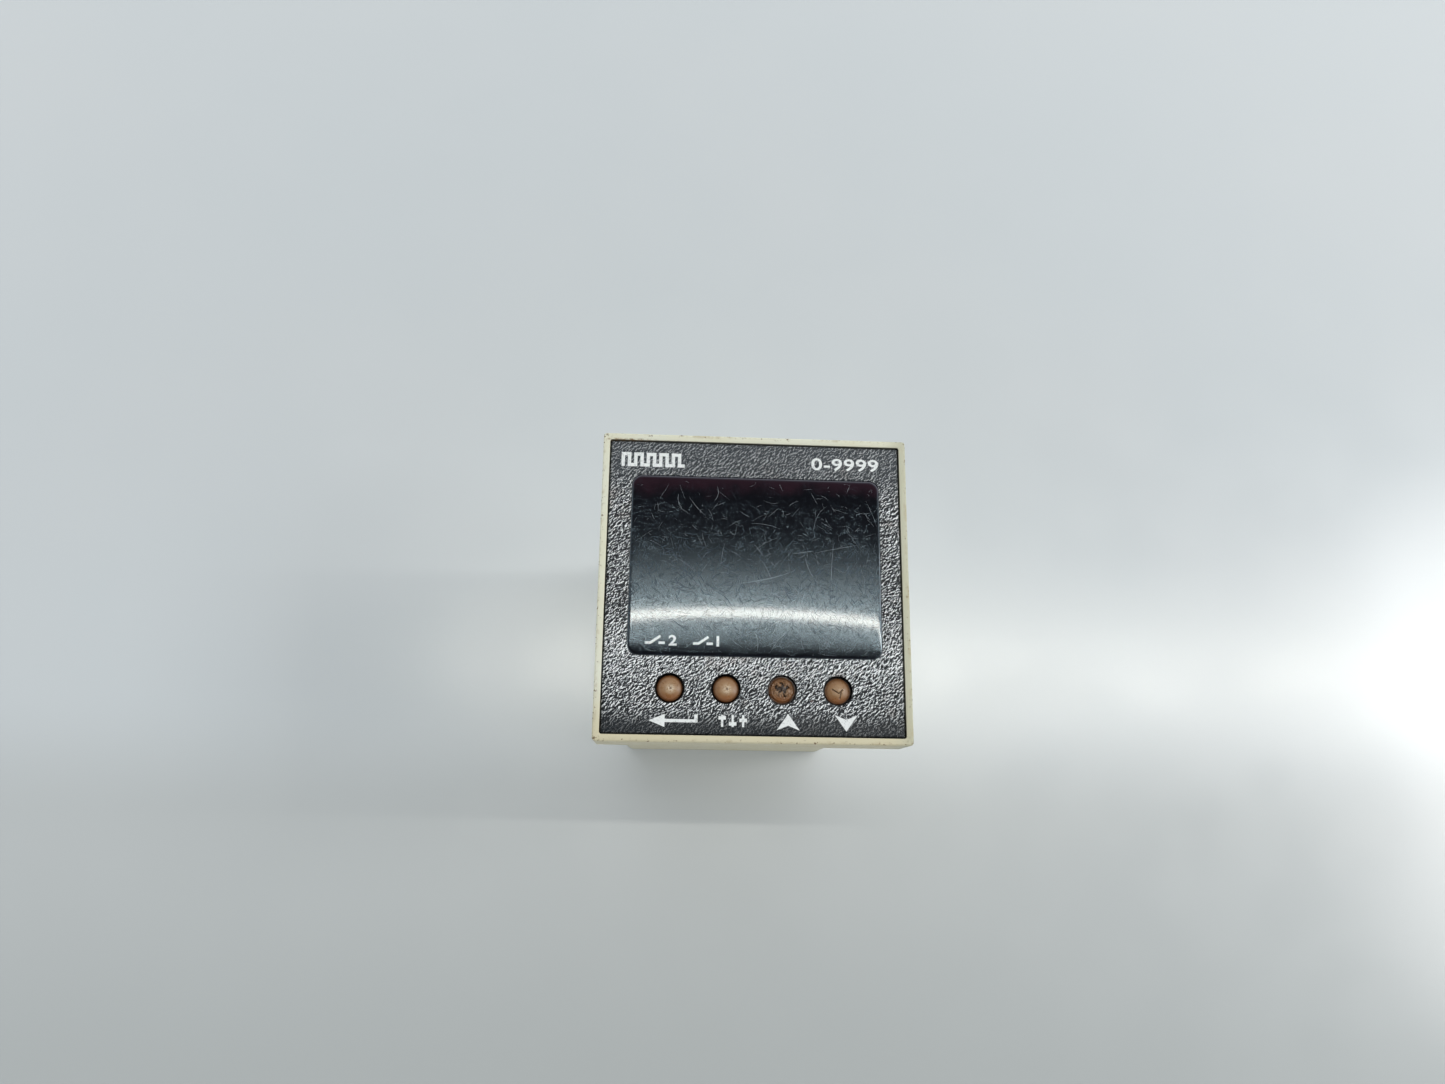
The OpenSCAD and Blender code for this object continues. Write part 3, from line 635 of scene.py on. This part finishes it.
def lens_loop(inset):
    """The window's outline moved inwards by inset, counter-clockwise, with points along its sides too."""
    radius = LENS_R - inset
    arcs = []
    for k, (sx, sy) in enumerate(((1, 1), (-1, 1), (-1, -1), (1, -1))):
        centre = Vector((sx * (LENS_HALF[0] - inset - radius), sy * (LENS_HALF[1] - inset - radius)))
        turns = [math.pi / 2 * (k + j / ARC_STEPS) for j in range(ARC_STEPS + 1)]
        arcs.append([centre + radius * Vector((math.cos(a), math.sin(a))) for a in turns])
    points = []
    for k in range(4):
        points += arcs[k]
        start, end = arcs[k][-1], arcs[(k + 1) % 4][0]
        points += [start.lerp(end, j / SIDE_STEPS) for j in range(1, SIDE_STEPS)]
    return points


def lens_inset(x, y):
    """Distance of a point inside the window's outline from that outline."""
    qx = abs(x) - LENS_HALF[0] + LENS_R
    qy = abs(y) - LENS_HALF[1] + LENS_R
    return LENS_R - math.hypot(max(qx, 0), max(qy, 0)) - min(max(qx, qy), 0)


def lens_height(x, y):
    """Height of the window's face: a pillow, flatter towards its left and right sides, with rolled edges."""
    u, v = x / LENS_HALF[0], y / LENS_HALF[1]
    dome = 0.06 * MM * u * u + 0.374 * MM * v * v * (1 - 0.28 * u * u)
    left = max(0.0, 1 - max(lens_inset(x, y), 0) / LENS_ROLL)
    return LENS_HIGH.z - dome - 0.20 * MM * (1 - math.sqrt(max(0.0, 1 - left * left)))


def lens_points(outline):
    """The outline, some loops inside it where the face rolls off, and a grid over the rest."""
    points = list(outline)
    for inset in (0.08, 0.2, 0.38, 0.6, 0.9):
        points += lens_loop(inset * MM)
    step = 1.25 * MM
    nx, ny = int(LENS_HALF[0] / step), int(LENS_HALF[1] / step)
    points += [Vector((i * step, j * step)) for i in range(-nx, nx + 1) for j in range(-ny, ny + 1)
               if lens_inset(i * step, j * step) > 1.5 * MM]
    return points


def make_window(material):
    """The domed lens, with its wall and the lip that holds it behind the plate."""
    outline = lens_loop(0.0)
    count = len(outline)
    edges = [(k, (k + 1) % count) for k in range(count)]
    flat, _, faces, _, _, _ = delaunay_2d_cdt(lens_points(outline), edges, [], 1, 1e-9)
    bm = bmesh.new()
    verts = [bm.verts.new((p.x + LENS_X, p.y + LENS_Y, lens_height(p.x, p.y))) for p in flat]
    for face in faces:
        bm.faces.new([verts[i] for i in face])
    rim = verts[:count]
    lip = lens_loop(-0.8 * MM)
    lip_z = LENS_LOW.z + 1.1 * MM
    for ring, z in ((outline, PLATE_Z - 0.75 * MM), (outline, lip_z), (lip, lip_z), (lip, LENS_LOW.z)):
        below = [bm.verts.new((p.x + LENS_X, p.y + LENS_Y, z)) for p in ring]
        for k in range(count):
            bm.faces.new([rim[k], below[k], below[(k + 1) % count], rim[(k + 1) % count]])
        rim = below
    bm.faces.new(rim)
    lens = new_object("window_lens", mesh_of(bm, "window_lens"), material, "window_plastic", smooth=40)
    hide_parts("display_window")


# Half the thickness of a sliver
SLIVER_T = 0.004 * MM


def add_sliver(bm, points, width, height_at):
    """A thin closed sliver along points, tapered to both ends, half sunk in the surface of height_at."""
    count = len(points)
    rows = []
    for k, p in enumerate(points):
        ahead = points[min(k + 1, count - 1)] - points[max(k - 1, 0)]
        side = Vector((-ahead.y, ahead.x)).normalized()
        half = width / 2 * max(0.15, math.sin(math.pi * (k + 0.5) / count))
        row = []
        for across, up in ((1, 1), (-1, 1), (-1, -1), (1, -1)):
            q = p + side * half * across
            row.append(bm.verts.new((q.x, q.y, height_at(q.x, q.y) + up * SLIVER_T)))
        rows.append(row)
    for near, far in zip(rows, rows[1:]):
        for k in range(4):
            bm.faces.new([near[k], near[(k + 1) % 4], far[(k + 1) % 4], far[k]])
    bm.faces.new(rows[0][::-1])
    bm.faces.new(rows[-1])


# The long scratches: start, angle in degrees, length, bend in radians, width; the rest in millimetres
LONG_SCRATCHES = (
    (-4.6, 0.2, 0, 14.5, 0.55, 0.10),
    (8.8, 7.6, 12, 5, 0, 0.08),
    (24.5, 10.2, 190, 11, 0.15, 0.06),
    (18.3, 11.5, 272, 14, 0.1, 0.07),
    (11.6, 7.0, 280, 8, 0.4, 0.07),
    (-18.0, 21.5, 250, 4, 0.9, 0.08),
    (-9.0, 23.6, 300, 4, -1.2, 0.07),
    (-15.5, 20.8, 300, 6, 0.4, 0.06),
    (-1.0, 14.6, 10, 7, -0.7, 0.05),
)
SHORT_SCRATCHES = 460


def make_scratches(material):
    """Hairline scratches all over the window, most of them short, and a few long ones."""
    rng = random.Random(72)
    bm = bmesh.new()

    def surface(x, y):
        return lens_height(x - LENS_X, y - LENS_Y)

    def scratch(start, angle, length, bend, width):
        steps = max(3, int(length / (0.8 * MM)))
        points = [start.copy()]
        for _ in range(steps):
            angle += bend / steps + rng.gauss(0, 0.04)
            points.append(points[-1] + Vector((math.cos(angle), math.sin(angle))) * length / steps)
        points = [p for p in points if lens_inset(p.x - LENS_X, p.y - LENS_Y) > 0.5 * MM]
        if len(points) > 2:
            add_sliver(bm, points, width, surface)

    for _ in range(SHORT_SCRATCHES):
        height = 1 - 2 * rng.random() ** 0.75
        start = Vector((rng.uniform(-1, 1) * LENS_HALF[0], LENS_Y + height * LENS_HALF[1]))
        length = min(9.0, rng.lognormvariate(0.35, 0.75)) * MM
        scratch(start, rng.uniform(0, math.tau), length, rng.gauss(0, 0.5), rng.uniform(0.018, 0.05) * MM)
    for x, y, angle, length, bend, width in LONG_SCRATCHES:
        scratch(Vector((x, y)) * MM, math.radians(angle), length * MM, bend, width * MM)
    new_object("window_scratches", mesh_of(bm, "window_scratches"), material, "window_plastic", smooth=60)


# ---------------------------------------------------------------- printed marks

# Thickness of the print
PRINT_T = 0.02 * MM
# Height of a figure of the built-in font, as a share of the font's size
FIGURE_HEIGHT = 0.73


def offset_line(points, half):
    """The points of a line shifted sideways by half, with mitred corners."""
    count = len(points)
    shifted = []
    for k, p in enumerate(points):
        normals = []
        for a, b in ((k - 1, k), (k, k + 1)):
            if a >= 0 and b < count:
                d = (points[b] - points[a]).normalized()
                normals.append(Vector((-d.y, d.x)))
        normal = sum(normals, Vector((0, 0))).normalized()
        shifted.append(p + normal * half / max(0.35, normal.dot(normals[0])))
    return shifted


class Marks:
    """Flat printed shapes, gathered into one mesh. Places are in millimetres from an origin."""

    def __init__(self, surface):
        self.bm = bmesh.new()
        self.surface = surface
        self.origin = Vector((0, 0))

    def at(self, x, y):
        """Moves the origin."""
        self.origin = Vector((x, y))
        return self

    def _solid(self, outline, lift=0.0):
        """A thin closed slab with this outline, sunk a little into the surface."""
        world = [(self.origin + p) * MM for p in outline]
        low = [self.bm.verts.new((p.x, p.y, self.surface(p.x, p.y) - 0.5 * PRINT_T)) for p in world]
        high = [self.bm.verts.new((p.x, p.y, self.surface(p.x, p.y) + PRINT_T + lift)) for p in world]
        count = len(world)
        self.bm.faces.new(high)
        self.bm.faces.new(low[::-1])
        for k in range(count):
            self.bm.faces.new([low[k], low[(k + 1) % count], high[(k + 1) % count], high[k]])

    def line(self, points, width):
        """A line of one width through points."""
        points = [Vector(p) for p in points]
        left = offset_line(points, width / 2)
        right = offset_line(points, -width / 2)
        self._solid(right + left[::-1])

    def shape(self, points, lift=0.0):
        """A filled outline."""
        self._solid([Vector(p) for p in points], lift)

    def figures(self, body, x, y, height, bold=0.0, stretch=1.0, flip=False):
        """Plain figures from x, y to the right or, flipped, as read from behind, to the left."""
        curve = bpy.data.curves.new("figures", "FONT")
        curve.body = body
        curve.size = height / FIGURE_HEIGHT
        curve.offset = bold
        curve.space_character = 1.0 + bold
        sample = bpy.data.objects.new("figures", curve)
        mesh = bpy.data.meshes.new_from_object(sample)
        flat = bmesh.new()
        flat.from_mesh(mesh)
        bmesh.ops.remove_doubles(flat, verts=flat.verts, dist=0.001 * height)
        result = bmesh.ops.extrude_face_region(flat, geom=list(flat.faces))
        tops = {v for v in result["geom"] if isinstance(v, bmesh.types.BMVert)}
        low_x = min(v.co.x for v in flat.verts)
        for vert in flat.verts:
            place = self.origin + Vector((x + (vert.co.x - low_x) * stretch, y + vert.co.y))
            if flip:
                place.x = 2 * (self.origin.x + x) - place.x
            place *= MM
            lift = PRINT_T if vert in tops else -0.5 * PRINT_T
            vert.co = (place.x, place.y, self.surface(place.x, place.y) + (-lift if flip else lift))
        extra = bpy.data.meshes.new("figures")
        flat.to_mesh(extra)
        flat.free()
        self.bm.from_mesh(extra)
        bpy.data.objects.remove(sample)
        bpy.data.curves.remove(curve)
        bpy.data.meshes.remove(mesh)
        bpy.data.meshes.remove(extra)

    def build(self, name, material, slot):
        """Makes one piece of all the marks."""
        new_object(name, mesh_of(self.bm, name), material, slot)


# Outlines of three of the marks, in millimetres
ENTER_ARROW = ((0, 0.85), (3.6, -0.6), (3.6, 0.5), (10.95, 0.5), (10.95, 2.3), (10.2, 2.3), (10.2, 1.2),
               (3.6, 1.2), (3.6, 2.3))
UP_ARROW = ((0, 1.85), (-2.6, -1.8), (0, -0.75), (2.6, -1.8))
KNOB = ((-0.85, -0.4), (0.85, -0.4), (0.85, 0.4), (-0.85, 0.4))


def make_plate_marks(material):
    """Generic marks on the plate: a pulse train, a measuring range, key icons and two arrows."""
    marks = Marks(lambda x, y: PLATE_Z)
    period, low, high = 2.95, 0.35, 3.0
    pulses = [(0, low)]
    for k in range(5):
        x = k * period + 0.35
        pulses += [(x, low), (x, high), (x + period / 2, high), (x + period / 2, low)]
    pulses.append((14.9, low))
    marks.at(-31.6, 28.0).line(pulses, 0.8)
    marks.at(13.4, 28.4).figures("0-9999", 0, 0, 3.0, 0.07, stretch=1.32)
    marks.at(-23.6, -32.1).shape(ENTER_ARROW)
    marks.at(-8.0, -32.2)
    for k, height in enumerate((1.75, 0.45, 1.25)):
        middle = 0.85 + k * 2.35
        marks.line([(middle, -0.25), (middle, 2.4)], 0.5)
        marks.shape([(middle + dx, height + dy) for dx, dy in KNOB], 0.01 * MM)
    for x, up in ((7.67, 1), (20.8, -1)):
        marks.at(x, -31.2).shape([(px, up * py) for px, py in UP_ARROW][::up])
    marks.build("plate_marks", material, "plate_plastic")


def make_window_marks(material):
    """Beside each lamp, a switching contact and the output's number."""
    marks = Marks(lambda x, y: lens_height(x - LENS_X, y - LENS_Y))
    for x, number in ((-24.9, "2"), (-14.0, "1")):
        marks.at(x, -14.4)
        marks.line([(0, 0.55), (1.25, 0.55), (3.5, 2.1)], 0.55)
        marks.line([(3.1, 0.55), (4.5, 0.55)], 0.55)
        marks.figures(number, 5.35, 0.05, 2.35, 0.08, stretch=1.2)
    marks.build("window_marks", material, "window_plastic")


# ---------------------------------------------------------------- buttons

def smooth(value, low, high):
    """Goes smoothly from 0 at low to 1 at high."""
    t = max(0.0, min(1.0, (value - low) / (high - low)))
    return t * t * (3 - 2 * t)


def crack(x, y, lines, width):
    """How deep inside one of the cracks a place is; all lengths are in millimetres."""
    depth = 0.0
    for px, py, qx, qy in lines:
        d = Vector((qx - px, qy - py))
        t = max(0.0, min(1.0, ((x - px) * d.x + (y - py) * d.y) / d.length_squared))
        gap = math.hypot(x - px - t * d.x, y - py - t * d.y) + 0.05 * wave(Vector((x * 3, y * 3, 9.0)))
        depth = max(depth, math.exp(-(gap / width) ** 2))
    return depth


def cap_damage(key, x, y):
    """Depth missing from a cap at x, y, as a share of its crown, and how dark it is painted there."""
    x, y = x / MM, y / MM
    r = math.hypot(x, y) / (CAP_R / MM)
    if key in ("enter", "set"):
        pit = math.exp(-((x - 0.22) ** 2 + y * y) / (2 * 0.24 ** 2))
        return 0.07 * pit, 0.25 * pit
    if key == "up":
        rough = wave(Vector((x * 1.1, y * 1.1, 3.1)))
        fine = wave(Vector((x * 2.9, y * 2.9, 7.7)))
        bowl = smooth(1.62 + 0.9 * rough + 0.3 * fine - math.hypot((x + 0.1) * 0.8, y - 0.35), 0.0, 0.8)
        ragged = wave(Vector((x * 2.1 + 4.0, y * 1.5, 1.7)))
        spoke = math.sin(4 * math.atan2(y - 0.3, x + 0.1) + 9 * rough + 5 * ragged)
        fold = max(0.0, spoke) * smooth(r, 0.25, 0.5) * smooth(0.84 - r, 0.0, 0.15)
        lip = math.exp(-((r - 0.78) / 0.07) ** 2)
        depth = 0.32 + 0.50 * bowl + 0.14 * fold + 0.12 * fine - 0.16 * lip
        return depth, min(1.0, 0.95 * smooth(bowl + 0.9 * ragged + 0.4 * fine, 0.3, 0.85) + 0.25 * fold)
    lines = ((-1.28, 0.4, 0.2, -0.5), (0.2, -0.5, 1.05, 0.3), (0.72, -0.3, 0.42, -1.7))
    depth = crack(x, y, lines, 0.10)
    return 0.22 + 0.30 * depth, 0.85 * depth


# Vertices in each ring of a cap, and rings from the middle of its face to its side
CAP_TURNS = 64
CAP_RINGS = 26


def ring_of(bm, centre, radius, z):
    """A ring of vertices round a centre."""
    ring = []
    for j in range(CAP_TURNS):
        turn = math.tau * j / CAP_TURNS
        x, y = radius * math.cos(turn), radius * math.sin(turn)
        ring.append(bm.verts.new((centre.x + x, centre.y + y, z)))
    return ring


def cap_dome(bm, key, top):
    """The worn face of a cap: its middle vertex, and rings of vertices out to its side."""
    damage_dark = bm.verts.layers.float.new("damage_dark")
    dome_r = (CAP_R ** 2 + CAP_CROWN ** 2) / (2 * CAP_CROWN)
    depth, damage_darkness = cap_damage(key, 0, 0)
    middle = bm.verts.new((top.x, top.y, top.z - max(depth, 0) * CAP_CROWN))
    middle[damage_dark] = damage_darkness
    rows = []
    for k in range(1, CAP_RINGS + 1):
        r = CAP_R * k / CAP_RINGS
        fade = min(1.0, (1 - k / CAP_RINGS) * 6)
        row = ring_of(bm, top, r, top.z - dome_r + math.sqrt(dome_r ** 2 - r * r))
        for vert in row:
            depth, damage_darkness = cap_damage(key, vert.co.x - top.x, vert.co.y - top.y)
            vert.co.z -= max(depth, -0.1) * CAP_CROWN * fade
            vert[damage_dark] = damage_darkness * fade
        rows.append(row)
    return middle, rows


def cap_profile(low_z, high_z):
    """Radius and height of the rings down a cap's side, round its flange and down its boss."""
    ease = 0.05 * MM
    shoulder = high_z - 2.6 * MM
    foot = shoulder - 0.8 * MM
    flange = CAP_R + CAP_FLANGE
    boss = CAP_R - 0.4 * MM
    return ((CAP_R, high_z - CAP_CROWN - ease), (CAP_R, shoulder), (flange - ease, shoulder),
            (flange, shoulder - ease), (flange, foot + ease), (flange - ease, foot),
            (boss, foot), (boss, low_z + 2 * ease), (boss - 2 * ease, low_z))


def make_button(key, material):
    """A domed cap with its wear, on its skirt, retaining flange and boss."""
    low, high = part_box(key + "_button")
    top = Vector((KEY_CENTRES[key].x, KEY_CENTRES[key].y, high.z))
    bm = bmesh.new()
    middle, rows = cap_dome(bm, key, top)
    rows += [ring_of(bm, top, r, z) for r, z in cap_profile(low.z, high.z)]
    for j in range(CAP_TURNS):
        bm.faces.new([middle, rows[0][j], rows[0][(j + 1) % CAP_TURNS]])
    for upper, lower in zip(rows, rows[1:]):
        for j in range(CAP_TURNS):
            after = (j + 1) % CAP_TURNS
            bm.faces.new([upper[j], lower[j], lower[after], upper[after]])
    bm.faces.new(rows[-1][::-1])
    mesh = mesh_of(bm, key + "_cap")
    cap = new_object(key + "_cap", mesh, material, "button_plastic", key + "_key", smooth=50)
    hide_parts(key + "_button")


# ---------------------------------------------------------------- rear marks and floor

def make_rear_marks(material):
    """Dark terminal numbers on the rear plate, beside the two terminal blocks."""
    marks = Marks(lambda x, y: REAR_Z)
    pitch = 6.35
    for y, first in ((9.6, 1), (-11.4, 9)):
        for k in range(8):
            value = str(first + k)
            marks.figures(value, (3.5 - k) * pitch + 0.55 * len(value), y, 1.8, 0.01, flip=True)
    marks.build("terminal_numbers", material, "terminal_plastic")


def make_floor():
    """The laminate top that the meter lies on, just under its rear face."""
    bm = bmesh.new()
    bmesh.ops.create_grid(bm, x_segments=1, y_segments=1, size=4)
    mesh = bpy.data.meshes.new("floor")
    bm.to_mesh(mesh)
    bm.free()
    floor = bpy.data.objects.new("floor", mesh)
    bpy.context.collection.objects.link(floor)
    mesh.materials.append(floor_finish())
    floor.location.z = CASE_LOW.z - 0.05 * MM


# ---------------------------------------------------------------- assembly

def finishes():
    """One material for each slot of the record but the buttons', which have one for each key."""
    return {
        "case_plastic": case_finish(),
        "plate_plastic": plate_finish(),
        "window_plastic": window_finish(),
        "switch_plastic": plastic("switch_plastic", (0.03, 0.03, 0.032), (0.07, 0.07, 0.07)),
        "stem_plastic": plastic("stem_plastic", (0.6, 0.57, 0.5), (0.45, 0.4, 0.32)),
        "circuit_board": board_finish(),
        "fastener_steel": metal("fastener_steel", (0.62, 0.60, 0.55), (0.36, 0.33, 0.27)),
        "chip_plastic": plastic("chip_plastic", (0.022, 0.022, 0.024), (0.05, 0.05, 0.052), 0.6, 0.3),
        "figure_plastic": plastic("figure_plastic", (0.04, 0.04, 0.045), (0.08, 0.08, 0.08), 0.5),
        "lamp_plastic": glassy("lamp_plastic", (0.45, 0.02, 0.015), 0.9),
        "connector_plastic": plastic("connector_plastic", (0.018, 0.018, 0.02), (0.05, 0.05, 0.05)),
        "connector_pins": metal("connector_pins", (0.83, 0.62, 0.25), (0.5, 0.36, 0.15), 0.25),
        "core_steel": metal("core_steel", (0.25, 0.25, 0.26), (0.16, 0.12, 0.09), 0.5, (1, 40, 1)),
        "bobbin_plastic": plastic("bobbin_plastic", (0.68, 0.63, 0.5), (0.5, 0.44, 0.3), 0.5),
        "winding_tape": plastic("winding_tape", (0.62, 0.4, 0.05), (0.45, 0.27, 0.04), 0.3, 2.0, 0.5),
        "relay_plastic": plastic("relay_plastic", (0.02, 0.07, 0.30), (0.06, 0.12, 0.34), 0.25, 1.5, 0.3),
        "capacitor_sleeve": plastic("capacitor_sleeve", (0.015, 0.02, 0.08), (0.04, 0.05, 0.12), 0.25, 1.5),
        "semiconductor": plastic("semiconductor", (0.022, 0.022, 0.024), (0.05, 0.05, 0.05), 0.6, 0.3),
        "heat_sink_metal": metal("heat_sink_metal", (0.72, 0.73, 0.74), (0.5, 0.5, 0.5), 0.4, (1, 1, 30)),
        "fuse_glass": glassy("fuse_glass", (0.7, 0.73, 0.7), 0.6),
        "clip_metal": metal("clip_metal", (0.75, 0.66, 0.42), (0.45, 0.38, 0.22), 0.3),
        "absorber_coating": plastic("absorber_coating", (0.02, 0.12, 0.42), (0.05, 0.16, 0.45), 0.25, 2.0),
        "crystal_can": metal("crystal_can", (0.8, 0.8, 0.78), (0.5, 0.5, 0.48), 0.2),
        "isolator_plastic": plastic("isolator_plastic", (0.72, 0.71, 0.66), (0.55, 0.53, 0.46), 0.5),
        "terminal_plastic": plastic("terminal_plastic", (0.022, 0.024, 0.027), (0.07,) * 3, 0.45, 0.6),
        "terminal_metal": metal("terminal_metal", (0.70, 0.60, 0.38), (0.42, 0.34, 0.2), 0.32, (1, 12, 1)),
    }


# How far the sharp edges of each softened node are rounded off, in millimetres
SOFT_EDGES = {
    "case_shell": 0.12,
    "front_plate": 0.10,
    "rear_plate": 0.15,
    "upper_terminal_block": 0.15,
    "lower_terminal_block": 0.15,
    "upper_terminal_screws": 0.08,
    "lower_terminal_screws": 0.08,
    "upper_terminal_plates": 0.06,
    "lower_terminal_plates": 0.06,
    "rear_screws": 0.06,
}


def build():
    """Gives every node its material and adds the pieces that stand for nodes or ride on them."""
    table = finishes()
    slots = {row["node"]: row["material_slot"] for row in frame["record"]["subparts"]}
    for node, slot in slots.items():
        mesh = NODES[node].data
        if slot in table:
            mesh.materials.clear()
            mesh.materials.append(table[slot])
    for node, width in SOFT_EDGES.items():
        soften(node, width * MM, table[slots[node]], slots[node])
    make_window(table["window_plastic"])
    make_scratches(scratch_finish())
    ink = print_finish()
    make_plate_marks(ink)
    make_window_marks(ink)
    for key in KEYS:
        finish = button_finish(key)
        NODES[key + "_button"].data.materials.clear()
        NODES[key + "_button"].data.materials.append(finish)
        make_button(key, finish)
    make_rear_marks(plastic("number_ink", (0.035, 0.033, 0.03), (0.12, 0.11, 0.09)))


make_camera()
make_world()
make_lights()
make_floor()
build()
bpy.context.scene.view_settings.view_transform = "Standard"
